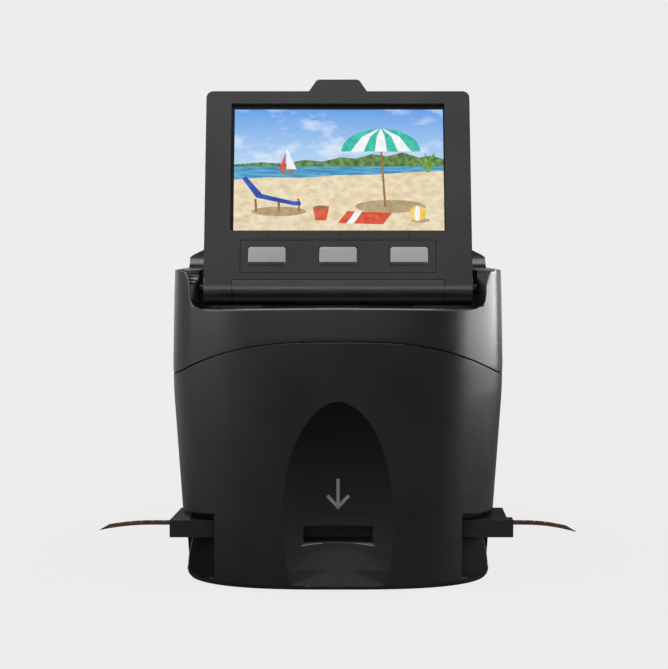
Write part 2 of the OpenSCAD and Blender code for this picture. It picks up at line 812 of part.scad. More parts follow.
// A metal socket shell that opens to the rear, with its contact tongue
module socket(x, w, h, depth, tongue) {
    shell = 0.4;
    translate([x - w / 2, rear_y - 0.9 - depth, socket_z]) {
        difference() {
            cube([w, depth, h]);
            translate([shell, 1.2, shell]) cube([w - 2 * shell, depth, h - 2 * shell]);
        }
        translate([w / 2 - tongue / 2, 1, h / 2 - 0.3]) cube([tongue, depth - 2, 0.6]);
    }
}

module usb_socket() {
    color(steel) socket(usb_x, 9, 3.4, 8, 6.6);
}

module video_socket() {
    color(steel) socket(video_x, 11.4, 3.5, 8.5, 9);
}

module card_socket() {
    color(steel) socket(card_x, 25.6, 3.1, 26, 18);
}

module power_switch() {
    color("#2b2b2e") {
        translate([power_at[0] - 3, power_at[1] - 3, deck_z - power_column]) cube([6, 6, 3]);
        translate([power_at[0], power_at[1], deck_z - power_column + 3 - eps])
            cylinder(r = 1.6, h = 0.5);
        translate([power_at[0] - 8, power_at[1] - 5, deck_z - power_column - board_t])
            cube([16, 10, board_t]);
    }
}

module power_button() {
    color(key_grey) translate([power_at[0], power_at[1], 0]) rotate_extrude()
        polygon([[0, deck_z - 5.1], [power_r + 1.1, deck_z - 5.1], [power_r + 1.1, deck_z - 4],
            [power_r, deck_z - 4], [power_r, deck_z + 0.4], [power_r - 0.5, deck_z + 0.8],
            [0, deck_z + 0.8]]);
}

// ---- Hinge ----

module hinge_brackets() {
    x0 = well_half + well_wall;
    color(steel) for (side = [-1, 1])
        scale([side, 1, 1]) difference() {
            union() {
                translate([x0, bracket_front, floor_z - 1])
                    cube([bracket_t, bracket_d, bracket_h]);
                translate([x0, hinge_y, axis_z]) rotate([0, 90, 0])
                    cylinder(d = shaft_d + 2.4, h = bracket_boss);
            }
            translate([x0 - 1, hinge_y, axis_z]) rotate([0, 90, 0])
                cylinder(d = shaft_d + 2 * shaft_fit, h = 8);
            for (y = bracket_holes)
                translate([x0 - 1, y, floor_z + 1.6]) rotate([0, 90, 0])
                    cylinder(d = 1.8, h = 4);
        }
}

module bracket_screws() {
    color(steel) for (side = [-1, 1], y = bracket_holes)
        scale([side, 1, 1]) translate([well_half + well_wall + bracket_t, y, floor_z + 1.6])
            rotate([0, -90, 0]) screw(3.2, 1.8);
}

// Puts a piece of the upright screen, whose face looks to -Y, on the hinge axis
module on_screen() {
    translate([0, hinge_y, axis_z]) rotate([-screen_tilt, 0, 0]) children();
}

// ---- Screen ----

// Outline of the screen housing with its rounded top corners and its finger tab
module screen_outline(inset) {
    r = screen_r - inset;
    half = screen_w / 2 - inset;
    translate([-half, 0]) square([2 * half, screen_h - screen_r]);
    translate([r - half, 0]) square([2 * (half - r), screen_h - inset]);
    tab_r = tab_corner - inset;
    foot = [tab_w / 2 - inset / 2, screen_h - inset];
    centre = [tab_w / 2 - tab_slope, screen_h + tab_h - tab_corner];
    reach = norm(centre - foot);
    lean = atan2(centre[1] - foot[1], centre[0] - foot[0]) - asin((tab_r - tab_touch) / reach);
    touch = foot + sqrt(reach * reach - tab_r * tab_r) * [cos(lean), sin(lean)];
    polygon([[-foot[0], screen_h - 6], [foot[0], screen_h - 6], foot, touch, centre,
        [centre[0], centre[1] + tab_r], [-centre[0], centre[1] + tab_r],
        [-centre[0], centre[1]], [-touch[0], touch[1]], [-foot[0], foot[1]]]);
    for (side = [-1, 1]) {
        translate([side * (half - r), screen_h - screen_r]) circle(r = r);
        translate([side * centre[0], centre[1]]) circle(r = tab_r);
    }
}

// A plate of the screen outline between two depths, standing upright
module screen_plate(y0, y1, inset) {
    translate([0, y1, 0]) rotate([90, 0, 0]) linear_extrude(y1 - y0) screen_outline(inset);
}

// Room inside the screen housing, behind its face
module screen_room() {
    translate([-screen_w / 2 + screen_wall, screen_wall - barrel_r, screen_foot + screen_wall])
        cube([screen_w - 2 * screen_wall, screen_t - 2 * screen_wall,
            screen_h - screen_foot - 2 * screen_wall]);
}

module barrel(r, half) {
    rotate([0, 90, 0]) cylinder(r = r, h = 2 * half, center = true);
}

module screen_front_frame() {
    face = -barrel_r;
    color(dark_face) on_screen() difference() {
        union() {
            screen_plate(face + 0.7, split_y, 0);
            screen_plate(face + 0.3, face + 0.8, 0.3);
            screen_plate(face, face + 0.4, 0.7);
            barrel(barrel_r - barrel_step, screen_w / 2 - barrel_step);
            translate([-screen_w / 2, 0, 0])
                cube([screen_w, barrel_r, screen_foot - seat_gap]);
        }
        translate([-60, split_y, screen_foot - seat_gap]) cube([120, 20, 90]);
        difference() {
            screen_room();
            screen_screw_points() translate([0, 0, -20])
                difference() {
                    cylinder(r = screen_boss_r, h = 40);
                    cylinder(d = screw_d - 0.4, h = 40);
                }
            for (x = key_board_posts)
                translate([x, switch_y + switch_t, key_mid]) rotate([90, 0, 0])
                    cylinder(r = 1.4, h = 20);
        }
        // Display opening
        translate([-lcd_w / 2, face - 1, key_strip]) cube([lcd_w, 10, lcd_h]);
        // Seat of the key bezel, and room for the key flanges
        translate([-bezel_w / 2, face - 1, key_mid - bezel_h / 2])
            cube([bezel_w, 1 + bezel_t, bezel_h]);
        for (i = [-1 : 1])
            translate([i * key_pitch - key_w / 2 - 1.5, face, key_mid - key_h / 2 - 1.1])
                cube([key_w + 3, 5, key_h + 2.2]);
        // Room for the barrel cover and the bores of the shafts
        translate([-barrel_half, -20, -20]) cube([2 * barrel_half, 40, 20 + screen_foot]);
        barrel(shaft_d / 2 + shaft_fit, 70);
    }
}

module screen_back_cover() {
    back = barrel_r;
    color(charcoal) on_screen() difference() {
        union() {
            screen_plate(split_y, back - 1.2, 0);
            screen_plate(back - 1.4, back - 0.5, 0.5);
            screen_plate(back - 0.7, back, 1.2);
        }
        difference() {
            screen_room();
            screen_screw_points() translate([0, 0, split_y]) cylinder(r = screen_boss_r, h = 20);
        }
        translate([-70, -20, -20]) cube([140, 40, 20 + screen_foot]);
        screen_screw_points() translate([0, 0, -1]) cylinder(d = screw_d, h = 20);
        screen_screw_points() translate([0, 0, back - 1.2]) cylinder(d = 2 * screw_d, h = 4);
    }
}

// The four screws in the back cover: local +Z points out of the back
module screen_screw_points() {
    for (side = [-1, 1], z = [7, screen_h - 5])
        translate([side * (screen_w / 2 - screen_wall - screen_boss_r + boss_merge), 0, z])
            rotate([-90, 0, 0]) children();
}

module screen_screws() {
    color(steel) on_screen() screen_screw_points()
        translate([0, 0, barrel_r - 1.2]) mirror([0, 0, 1]) screw(7);
}

module barrel_cover() {
    half = barrel_half - seat_gap;
    color(dark_face) on_screen() difference() {
        union() {
            barrel(barrel_r, half);
            translate([-half, -barrel_r, 0])
                cube([2 * half, 2 * barrel_r, screen_foot - seat_gap]);
        }
        translate([-half - 1, -barrel_r - 1, screen_foot - seat_gap])
            cube([2 * half + 2, 2 * barrel_r + 2, 10]);
        barrel(barrel_r - 1.6, half - 1.6);
        translate([-half + 1.6, -barrel_r + 1.6, 0])
            cube([2 * half - 3.2, 2 * barrel_r - 3.2, 10]);
    }
}

module hinge_shafts() {
    reach = well_half + well_wall + bracket_boss;
    inner = barrel_half + 1.2;
    color(steel) on_screen() for (side = [-1, 1])
        scale([side, 1, 1]) translate([inner, 0, 0]) rotate([0, 90, 0])
            cylinder(d = shaft_d, h = reach - inner + 0.2);
}

module lcd_glass() {
    color("#0d1117") on_screen()
        translate([-lcd_w / 2 - 1.6, -barrel_r + screen_wall, key_strip - 1.6])
            cube([lcd_w + 3.2, 0.8, lcd_h + 3.2]);
}

module lcd_panel() {
    color("#2d3138") on_screen()
        translate([-lcd_w / 2 - 2.4, -barrel_r + screen_wall + 0.8, key_strip - 1.8])
            cube([lcd_w + 4.8, 3, lcd_h + 4]);
}

module key_bezel() {
    color(dark_face) on_screen() difference() {
        translate([-bezel_w / 2 + seat_gap, -barrel_r, key_mid - bezel_h / 2 + seat_gap])
            cube([bezel_w - 2 * seat_gap, bezel_t, bezel_h - 2 * seat_gap]);
        for (i = [-1 : 1])
            translate([i * key_pitch - key_w / 2 - key_gap, -barrel_r - 1,
                key_mid - key_h / 2 - key_gap])
                cube([key_w + 2 * key_gap, 5, key_h + 2 * key_gap]);
    }
}

// Cap, flange behind the bezel, and plunger over its switch
module key_piece(i) {
    color(key_grey) on_screen() translate([i * key_pitch, 0, key_mid]) {
        translate([0, cap_back + eps, 0]) rotate([90, 0, 0])
            linear_extrude(cap_back - cap_front - 0.4) key_outline(0);
        translate([0, cap_front + 0.45, 0]) rotate([90, 0, 0])
            linear_extrude(0.45) key_outline(0.35);
        translate([-key_w / 2 - 1, cap_back, -key_h / 2 - 0.8])
            cube([key_w + 2, key_flange, key_h + 1.6]);
        translate([0, cap_back + key_flange - eps, 0]) rotate([-90, 0, 0])
            cylinder(r = 1.6, h = plunger_l + eps);
    }
}

module key_outline(inset) {
    r = 1;
    half_w = key_w / 2 - inset - r;
    half_h = key_h / 2 - inset - r;
    square([2 * half_w + 2 * r, 2 * half_h], center = true);
    square([2 * half_w, 2 * half_h + 2 * r], center = true);
    for (x = [-half_w, half_w], z = [-half_h, half_h]) translate([x, z]) circle(r = r);
}

module key_left() key_piece(-1);
module key_middle() key_piece(0);
module key_right() key_piece(1);

module key_board() {
    color(board_green) on_screen()
        translate([-key_board_half, switch_y + switch_t, key_mid - 5])
            cube([2 * key_board_half, 1.2, 10]);
}

module key_switches() {
    color(steel) on_screen() for (i = [-1 : 1])
        translate([i * key_pitch, switch_y, key_mid]) rotate([-90, 0, 0])
            cylinder(r1 = 2, r2 = 2.6, h = switch_t);
}

// ---- Film holder ----

module holder_outline() {
    lip = 6;
    polygon([[holder_left, holder_front], [holder_right, holder_front],
        [holder_right, holder_front + lip], [holder_right - 2, holder_front + lip],
        [holder_right - 2, holder_rear], [holder_left + 2.6, holder_rear]]);
}

module film_channel() {
    translate([-100, film_y - film_w / 2 - 0.15, film_z - 0.2])
        cube([200, film_w + 0.3, 0.4]);
    translate([-2.9, film_y - 2.05, holder_z - 1]) cube([5.8, 4.1, holder_t + 2]);
}

module holder_base() {
    color(black) difference() {
        union() {
            translate([0, 0, holder_z]) linear_extrude(holder_t / 2 - 0.1) holder_outline();
            lug(0, 0);
        }
        film_channel();
        translate([holder_shift - 0.4, holder_front - 1, holder_z - 1]) cube([0.8, 1.5, 10]);
        holder_notches();
        magnet_points() translate([0, 0, -1.1]) cylinder(r = 1.6, h = 3);
        pin_hole();
    }
}

// The lug under the holder, by which it is pulled out, grown for its room in the housing
module lug(gap, away) {
    translate([holder_right - 2 - lug_size[0] - gap, holder_rear - 1 - lug_size[1] - gap,
        holder_z - lug_size[2] - gap])
        cube([lug_size[0] + gap + away, lug_size[1] + 2 * gap, lug_size[2] + gap + eps]);
}

// Click notches in the back edge, one at each rest place of the holder
module holder_notches() {
    for (x = click_at)
        translate([x, holder_rear, holder_z - 1]) cylinder(r = 0.9, h = holder_t + 2);
}

module magnet_points() {
    for (x = [holder_left + 12, holder_right - 12])
        translate([x, holder_front + 4, film_z]) children();
}

module pin_hole() {
    translate([holder_left + 8, holder_rear - 2, film_z]) rotate([0, 90, 0])
        cylinder(d = pin_d + 0.1, h = holder_l - 16);
}

module holder_cover() {
    color(black) difference() {
        translate([0, 0, film_z]) linear_extrude(holder_t / 2) holder_outline();
        film_channel();
        translate([holder_shift - 0.4, holder_front - 1, holder_z - 1]) cube([0.8, 1.5, 10]);
        holder_notches();
        magnet_points() translate([0, 0, -1]) cylinder(r = 1.6, h = 2.1);
        pin_hole();
    }
}

module holder_hinge_pin() {
    color(steel) translate([holder_left + 10, holder_rear - 2, film_z]) rotate([0, 90, 0])
        cylinder(d = pin_d, h = holder_l - 20);
}

module holder_magnets() {
    color(steel) magnet_points() translate([0, 0, -1.1]) cylinder(r = 1.5, h = 2.2);
}

function droop(x, x0, c) = x < x0 ? 0 : c * pow(x - x0, 2);

module film_strip() {
    left_sag = 0.0055;
    right_sag = 0.0075;
    xs = concat([for (i = [0 : 8]) -film_half + i * 2.4], [0],
        [for (i = [8 : -1 : 0]) film_half - i * 2.4]);
    line = [for (x = xs) [x, film_z - (x < 0 ? droop(-x, 72, left_sag)
        : droop(x, 72, right_sag))]];
    color("#4a2f25") difference() {
        translate([0, film_y + film_w / 2, 0]) rotate([90, 0, 0]) linear_extrude(film_w)
            polygon(concat([for (p = line) [p[0], p[1] - film_t / 2]],
                [for (i = [len(line) - 1 : -1 : 0]) [line[i][0], line[i][1] + film_t / 2]]));
        for (i = [-20 : 20])
            translate([i * film_pitch - 0.45, film_y + film_w / 2 - 1.5, film_z - 6])
                cube([0.9, 1.1, 8]);
        for (side = [-1, 1])
            translate([side * film_half, film_y - film_w / 2, film_z - 8])
                rotate([0, 0, side * 20]) translate([side < 0 ? -10 : 0, 0, 0])
                    cube([10, 20, 16]);
    }
}

lower_housing();
upper_housing();
base_plate();
rubber_feet();
base_screws();
film_track();
gate_roof();
detent_springs();
light_board();
light_leds();
light_diffuser();
optics_tower();
lens_barrel();
lens_elements();
sensor_board();
image_sensor();
sensor_screws();
main_board();
board_chips();
board_screws();
usb_socket();
video_socket();
card_socket();
power_switch();
power_button();
hinge_brackets();
bracket_screws();
screen_front_frame();
screen_back_cover();
barrel_cover();
hinge_shafts();
lcd_glass();
lcd_panel();
key_bezel();
key_board();
key_switches();
key_left();
key_middle();
key_right();
screen_screws();
holder_base();
holder_cover();
holder_hinge_pin();
holder_magnets();
film_strip();
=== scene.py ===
# Film scanner with a flip-up screen: finishes, printed and fine details, light and camera.
import math

import bmesh
import bpy
from mathutils import Matrix, Vector
from mathutils.bvhtree import BVHTree


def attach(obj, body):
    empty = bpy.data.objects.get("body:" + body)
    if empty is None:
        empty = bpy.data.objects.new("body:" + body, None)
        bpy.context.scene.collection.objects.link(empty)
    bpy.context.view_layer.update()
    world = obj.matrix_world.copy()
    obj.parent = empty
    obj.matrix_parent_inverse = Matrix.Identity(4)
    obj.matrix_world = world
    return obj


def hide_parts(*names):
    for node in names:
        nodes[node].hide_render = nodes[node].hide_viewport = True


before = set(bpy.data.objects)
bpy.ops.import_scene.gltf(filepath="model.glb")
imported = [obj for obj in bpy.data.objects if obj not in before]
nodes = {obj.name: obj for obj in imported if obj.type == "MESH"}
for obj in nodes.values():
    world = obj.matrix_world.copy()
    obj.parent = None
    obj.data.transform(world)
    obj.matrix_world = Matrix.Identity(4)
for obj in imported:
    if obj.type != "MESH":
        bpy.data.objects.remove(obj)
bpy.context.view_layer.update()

# Sizes are in millimetres where no other unit is given, and Blender's units are metres.
MM = 0.001

# The lean of the display, in degrees, and the middle of its hinge.
SCREEN_TILT = 19.3
HINGE = Vector((0, -38, 113))
# Depths in the display: its face, and the front of the glass behind it.
FACE, GLASS_FRONT = -6.5, -4.5
# The picture's left, right, low and high edges, and the depth of its layers.
PICTURE = (-39.8, 40.5, 21.3, 70.3)
FIRST_LAYER, LAYER = 0.05, 0.03

# Keys: cap, sloped skirt at its lower edge, flange behind the bezel, and stem.
KEY_SIZE = (14.2, 7.0)
KEY_PITCH, KEY_MID = 26.9, 10.9
CAP_FRONT, CAP_BACK = -7.3, -4.85
CAP_CORNER, CAP_EDGE = 1.0, 0.3
SKIRT_H = 1.1
FLANGE_T, FLANGE_WIDER, FLANGE_HIGHER = 0.8, 2, 1.6
STEM_L, STEM_R = 0.4, 1.6

# The corner recesses, in metres.
RECESS_X, RECESS_BACK, RECESS_LOW, RECESS_HIGH = 0.0468, -0.015, 0.0034, 0.0292
# The scoop of the front, and the crease of the holder's left end.
SCOOP_LOW, SCOOP_MID, SCOOP_TOP, SCOOP_HALF = 2.8, 29.0, 72.6, 21.2
SCOOP_FRONT, SCOOP_NARROWER = -40, 2.3
GRIP_X = -56.5
# The sill of the film window, and the heights that the seam runs between.
SILL_HALF, SILL_FRONT, SILL_LOW, SILL_HIGH = 15, -45, 14.5, 18.8
SEAM_LOW, SEAM_HIGH = 72, 101
# The rim of the hinge well: along its front, and up its flares at the sides.
RIM_FRONT, RIM_LOW, RIM_HALF = -49, 106.2, 51.4
FLARE_FRONT, FLARE_LOW, FLARE_INNER = -40, 106.6, 53.6
# How wide the rim of the well is rounded.
CREST = 0.7
# Widths of the printed strokes.
ARROW_STROKE, MARK_STROKE = 1.2, 0.3

# The camera, in metres and degrees, and its lens.
CAMERA_AT = (-0.00152, -0.746, 0.1688)
CAMERA_DIP, LENS = 5.914, 100.52
# The colour of the backdrop, and the distances over which the paper floor reaches it, in metres.
BACKDROP = "#ededed"
PAPER_NEAR, PAPER_FAR = 0.12, 0.4

# Screen pieces are drawn upright, with x to the side, y into the face and z up from the hinge.
ON_SCREEN = Matrix.Translation(HINGE) @ Matrix.Rotation(math.radians(-SCREEN_TILT), 4, "X")
ON_SCREEN_BACK = ON_SCREEN.inverted()
# Flat drawings are made in x and y, and stood up to look to the front.
UPRIGHT = Matrix.Rotation(math.radians(90), 4, "X")


# ---- Finishes ----

def colour(code):
    """The linear colour of an sRGB hex value."""
    parts = [int(code[i:i + 2], 16) / 255 for i in (1, 3, 5)]
    return [p / 12.92 if p <= 0.04045 else ((p + 0.055) / 1.055) ** 2.4 for p in parts] + [1]


def put(tree, kind, settings=None, **wires):
    """Adds a node, with settings by attribute or socket, and wires into its sockets."""
    node = tree.nodes.new(kind)
    for key, value in (settings or {}).items():
        if isinstance(key, str) and hasattr(node, key):
            setattr(node, key, value)
        else:
            node.inputs[key].default_value = value
    for key, source in wires.items():
        socket = node.inputs[int(key[1:]) if key[0] == "_" else key.replace("_", " ")]
        tree.links.new(source, socket)
    return node


def finish(name, **sockets):
    """A material whose shader holds the plain values, ready for its patterns."""
    made = bpy.data.materials.new(name)
    made.use_nodes = True
    shader = made.node_tree.nodes["Principled BSDF"]
    for key, value in sockets.items():
        shader.inputs[key.replace("_", " ")].default_value = value
    return made, made.node_tree, shader


def spots(tree, size_mm, detail=2.0, stretch=(1, 1, 1), rough=0.5):
    """Soft mottling of a real size, fixed to the object."""
    where = put(tree, "ShaderNodeTexCoord").outputs["Object"]
    placed = put(tree, "ShaderNodeMapping", {"Scale": stretch}, Vector=where).outputs["Vector"]
    return put(tree, "ShaderNodeTexNoise", {"Scale": 1 / (size_mm * MM), "Detail": detail,
               "Roughness": rough}, Vector=placed).outputs["Fac"]


def between(tree, factor, low, high, start=0.35, stop=0.65):
    """Two colours mixed by a pattern."""
    ramp = put(tree, "ShaderNodeValToRGB", Fac=factor)
    for stop_at, place, code in zip(ramp.color_ramp.elements, (start, stop), (low, high)):
        stop_at.position = place
        stop_at.color = colour(code)
    return ramp.outputs["Color"]


def ranged(tree, factor, low, high, start=0.3, stop=0.7):
    """A number that runs from low to high while the factor runs from start to stop."""
    return put(tree, "ShaderNodeMapRange", {"From Min": start, "From Max": stop, "To Min": low,
               "To Max": high}, Value=factor).outputs["Result"]


def worked(tree, operation, first, second):
    """Two numbers joined by a sum of the given kind."""
    return put(tree, "ShaderNodeMath", {"operation": operation},
               _0=first, _1=second).outputs[0]


def turned(tree, share, ground, code):
    """A colour that turns into a fixed one by a share."""
    return put(tree, "ShaderNodeMix", {"data_type": "RGBA", 7: colour(code)},
               _0=share, _6=ground).outputs[2]


def axes_of(tree):
    """A place on the object as three numbers, in metres."""
    where = put(tree, "ShaderNodeTexCoord").outputs["Object"]
    return put(tree, "ShaderNodeSeparateXYZ", Vector=where).outputs


def dented(tree, factor, depth_mm):
    """Small dents from a pattern."""
    return put(tree, "ShaderNodeBump", {"Strength": 0.5, "Distance": depth_mm * MM},
               Height=factor).outputs["Normal"]


def moulded(name, low, high, gloss, grain_mm, depth_mm, specular=0.5, cloud_mm=24):
    """Injection-moulded plastic: near-even colour, grain from the tool, patches of handling."""
    made, tree, shader = finish(name, Specular_IOR_Level=specular)
    cloud = spots(tree, cloud_mm, 3)
    grain = spots(tree, grain_mm, 3)
    tree.links.new(between(tree, cloud, low, high), shader.inputs["Base Color"])
    tree.links.new(ranged(tree, cloud, gloss - 0.03, gloss + 0.03), shader.inputs["Roughness"])
    tree.links.new(dented(tree, grain, depth_mm), shader.inputs["Normal"])
    return made


def metal(name, low, high, gloss, stretch=(1, 1, 1)):
    """A plated or rolled metal with fine drawn lines and a few duller patches."""
    made, tree, shader = finish(name, Metallic=1.0)
    cloud = spots(tree, 3, 3)
    lines = spots(tree, 0.3, 2, stretch)
    tree.links.new(between(tree, cloud, low, high), shader.inputs["Base Color"])
    tree.links.new(ranged(tree, lines, gloss - 0.06, gloss + 0.08), shader.inputs["Roughness"])
    tree.links.new(dented(tree, lines, 0.004), shader.inputs["Normal"])
    return made


def scoop_with_painted_shade():
    """The same black ABS, smoother where thumbs push, with painted shade: deeper black towards its
    top.
    """
    made, tree, shader = finish("scoop_abs_painted_shade", Roughness=0.3, Specular_IOR_Level=0.13)
    rise = ranged(tree, axes_of(tree)["Z"], 0.0, 1.0, 12 * MM, 62 * MM)
    # Painted shade: dark grey at the foot of the scoop, near black at its top.
    tree.links.new(between(tree, rise, "#262627", "#0e0e0e", 0.0, 1.0),
                   shader.inputs["Base Color"])
    tree.links.new(dented(tree, spots(tree, 0.5, 3), 0.003), shader.inputs["Normal"])
    return made


def circuit_board():
    """Glass-epoxy board under green solder mask: satin, with copper runs showing through."""
    made, tree, shader = finish("glass_epoxy_solder_mask", Roughness=0.38, Coat_Weight=0.25)
    where = put(tree, "ShaderNodeTexCoord").outputs["Object"]
    runs = put(tree, "ShaderNodeTexBrick", {"Scale": 160.0, "Mortar Size": 0.03,
               "Color1": colour("#1c5637"), "Color2": colour("#226441"),
               "Mortar": colour("#2f7d50")}, Vector=where).outputs
    pads = put(tree, "ShaderNodeTexVoronoi", {"Scale": 420.0}, Vector=where).outputs["Distance"]
    pad = put(tree, "ShaderNodeMath", {"operation": "LESS_THAN", 1: 0.12}, _0=pads).outputs[0]
    tree.links.new(turned(tree, pad, runs["Color"], "#b9a86a"), shader.inputs["Base Color"])
    tree.links.new(dented(tree, runs["Fac"], 0.03), shader.inputs["Normal"])
    return made


def acetate_film():
    """Developed negative on an acetate base: brown with little gloss, darker and clearer by
    turns from frame to frame."""
    made, tree, shader = finish("acetate_negative", Roughness=0.6, Specular_IOR_Level=0.08)
    blot = spots(tree, 2.6, 4, (1, 2.2, 1), 0.65)
    fine = spots(tree, 0.9, 2)
    shade = between(tree, blot, "#23140e", "#523629", 0.38, 0.66)
    tree.links.new(shade, shader.inputs["Base Color"])
    tree.links.new(dented(tree, fine, 0.05), shader.inputs["Normal"])
    return made


def glass(name, code):
    """Polished glass with faint dust on it."""
    made, tree, shader = finish(name, Base_Color=colour(code), Transmission_Weight=1.0, IOR=1.5)
    tree.links.new(ranged(tree, spots(tree, 2), 0.01, 0.06), shader.inputs["Roughness"])
    return made


def backlit(name):
    """A dark glossy sheet whose colour comes from the light behind it."""
    return finish(name, Roughness=0.3, Specular_IOR_Level=0.2, Base_Color=colour("#050506"),
                  Emission_Strength=1.0)


def glowing(name, low, high, size_mm, stretch=(1, 1, 1), start=0.35, stop=0.65, detail=3):
    """A lit patch of the display in two mottled colours."""
    made, tree, shader = backlit(name)
    shade = between(tree, spots(tree, size_mm, detail, stretch), low, high, start, stop)
    tree.links.new(shade, shader.inputs["Emission Color"])
    return made


def finishes():
    """Every finish on the scanner by its own name."""
    return {
        # ABS from a spark-eroded tool: black, with an even satin glow from its fine grain.
        # The real grain is 0.1 mm, drawn at 0.5 mm so that it shows.
        "housing": moulded("spark_eroded_abs", "#0f0f10", "#121213", 0.28, 0.5, 0.003),
        # The same ABS from a finer tool: flatter and a little lighter.
        "face": moulded("satin_abs", "#1e1e1f", "#212122", 0.36, 0.4, 0.003),
        # The hinge barrel, rubbed bright along its roll.
        "barrel_abs": moulded("polished_abs", "#111112", "#141415", 0.32, 0.4, 0.002, 1.0),
        # Painted highlight: the rounded rim of the well and the sloped sill of the film window,
        # paler and smoother than the shell.
        "painted_highlight": moulded("abs_painted_highlight", "#3b3b3c", "#424243", 0.2, 0.5, 0.002, 0.6),
        # Painted shade: the corner recesses and the joint of the seam, darker and matt, with no
        # clear highlight.
        "recess": moulded("recess_abs_painted_shade", "#0b0b0b", "#0f0f10", 0.7, 0.8, 0.02, 0.05),
        # Polypropylene, black and slightly waxy, as on holders that slide.
        "black": moulded("black_polypropylene", "#171716", "#1d1d1c", 0.5, 0.7, 0.02, 0.25),
        # The same, sanded for grip: paler, with a coarse tooth of 0.8 mm.
        "grip": moulded("sanded_polypropylene", "#2c2c2b", "#464645", 0.75, 0.8, 0.12, 0.2, 1.1),
        # Painted keys, pale grey with a fine satin skin.
        "keys": moulded("satin_painted_abs", "#8b8d8d", "#919393", 0.42, 0.4, 0.004, 0.4),
        # Silicone rubber: dull, no clear highlight.
        "rubber": moulded("silicone_rubber", "#161616", "#1e1e1e", 0.8, 0.7, 0.02, 0.3),
        # Zinc-plated steel, bright with a dull bloom.
        "zinc": metal("zinc_plated_steel", "#a8abb0", "#bfc2c6", 0.34),
        # Steel blackened in a hot oxide bath: dark, with a soft sheen.
        "oxide": metal("black_oxide_steel", "#232325", "#2c2c2f", 0.4),
        # Rolled stainless strip, with lines along its length.
        "spring": metal("rolled_stainless", "#9da0a4", "#b4b7ba", 0.3, (0.05, 1, 1)),
        # Nickel plate on magnets: smooth and warm.
        "nickel": metal("nickel_plate", "#b3aca0", "#c6c0b4", 0.22),
        "board": circuit_board(),
        # Chip packages of filled epoxy: black and finely sanded.
        "chip": moulded("filled_epoxy", "#1d1d1f", "#262628", 0.55, 0.3, 0.01, 0.4),
        # LED packages: white shell round a yellow phosphor.
        "led": moulded("phosphor_silicone", "#e9dfa6", "#f3efdd", 0.35, 0.6, 0.02, 0.5),
        # Opal acrylic, milky with a soft skin.
        "opal": moulded("opal_acrylic", "#e8e8e4", "#f4f4f0", 0.4, 0.5, 0.004, 0.5),
        "lens": glass("coated_crown_glass", "#cfe6ee"),
        # Black anodised aluminium, turned: thin rings of light.
        "barrel": metal("black_anodised_aluminium", "#242426", "#303033", 0.4, (1, 1, 4)),
        # Sensor die under its cover, bluish and mirror-smooth.
        "sensor": moulded("sensor_cover_glass", "#2e3146", "#454a63", 0.12, 0.6, 0.001, 0.8),
        # Display glass, black until lit.
        "display": moulded("black_display_glass", "#060708", "#090a0c", 0.12, 2.0, 0.0005, 0.4),
        # Display can: pressed steel, grey.
        "can": metal("pressed_steel_can", "#5a5e63", "#6f7378", 0.38),
        "film": acetate_film(),
        # Painted shade: the sloped skirt under a key's cap, in a darker grey than the cap.
        "skirt": moulded("key_skirt_painted_shade", "#464948", "#4c4f4e", 0.5, 0.4, 0.004, 0.4),
        # Pad-printed ink: flat and slightly raised.
        "ink": moulded("pad_printed_ink", "#6c6c6d", "#727273", 0.5, 0.5, 0.003, 0.3),
        "faint_ink": moulded("pad_printed_dark_ink", "#0c0d0d", "#111212", 0.5, 0.5, 0.003, 0.2),
        "scoop": scoop_with_painted_shade(),
    }


WEARS = {
    "housing": ["lower_housing", "upper_housing", "screen_back_cover"],
    "face": ["screen_front_frame", "barrel_cover", "key_bezel"],
    "black": ["base_plate", "film_track", "gate_roof", "optics_tower", "holder_base",
              "holder_cover", "power_switch"],
    "keys": ["key_left", "key_middle", "key_right", "power_button"],
    "rubber": ["rubber_feet"],
    "zinc": ["base_screws", "sensor_screws", "board_screws", "bracket_screws", "screen_screws",
             "usb_socket", "video_socket", "card_socket", "hinge_brackets", "holder_hinge_pin"],
    "oxide": ["hinge_shafts"],
    "spring": ["detent_springs", "key_switches"],
    "nickel": ["holder_magnets"],
    "board": ["light_board", "sensor_board", "main_board", "key_board"],
    "chip": ["board_chips"],
    "led": ["light_leds"],
    "opal": ["light_diffuser"],
    "lens": ["lens_elements"],
    "barrel": ["lens_barrel"],
    "sensor": ["image_sensor"],
    "display": ["lcd_glass"],
    "can": ["lcd_panel"],
    "film": ["film_strip"],
}


def dress(looks):
    """Gives every CAD node its finish."""
    for key, names in WEARS.items():
        for name in names:
            slots = nodes[name].data.materials
            for i in range(len(slots)):
                slots[i] = looks[key]
            if not len(slots):
                slots.append(looks[key])


# ---- Pieces ----

def piece(name, mesh, finishes_used, body, place=None, to_metres=True):
    """A new piece from a mesh in millimetres, riding on a body."""
    if place is not None:
        bmesh.ops.transform(mesh, matrix=place, verts=mesh.verts)
    if to_metres:
        bmesh.ops.scale(mesh, vec=(MM, MM, MM), verts=mesh.verts)
    data = bpy.data.meshes.new(name)
    mesh.to_mesh(data)
    mesh.free()
    for used in finishes_used:
        data.materials.append(used)
    obj = bpy.data.objects.new(name, data)
    bpy.context.scene.collection.objects.link(obj)
    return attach(obj, body)


def cut_by(mesh, at, facing, clear_outer=False):
    """Cuts a mesh by a plane, and drops what lies before it if asked to."""
    return bmesh.ops.bisect_plane(mesh, geom=mesh.verts[:] + mesh.edges[:] + mesh.faces[:],
                                  plane_co=at, plane_no=facing, clear_outer=clear_outer)


def merged(name, slivers_mm=0.01):
    """A CAD node's mesh with its loose triangles joined, and its slivers closed up."""
    mesh = bmesh.new()
    mesh.from_mesh(nodes[name].data)
    bmesh.ops.remove_doubles(mesh, verts=mesh.verts, dist=slivers_mm * MM)
    bmesh.ops.dissolve_degenerate(mesh, dist=0.002 * MM, edges=mesh.edges)
    return mesh


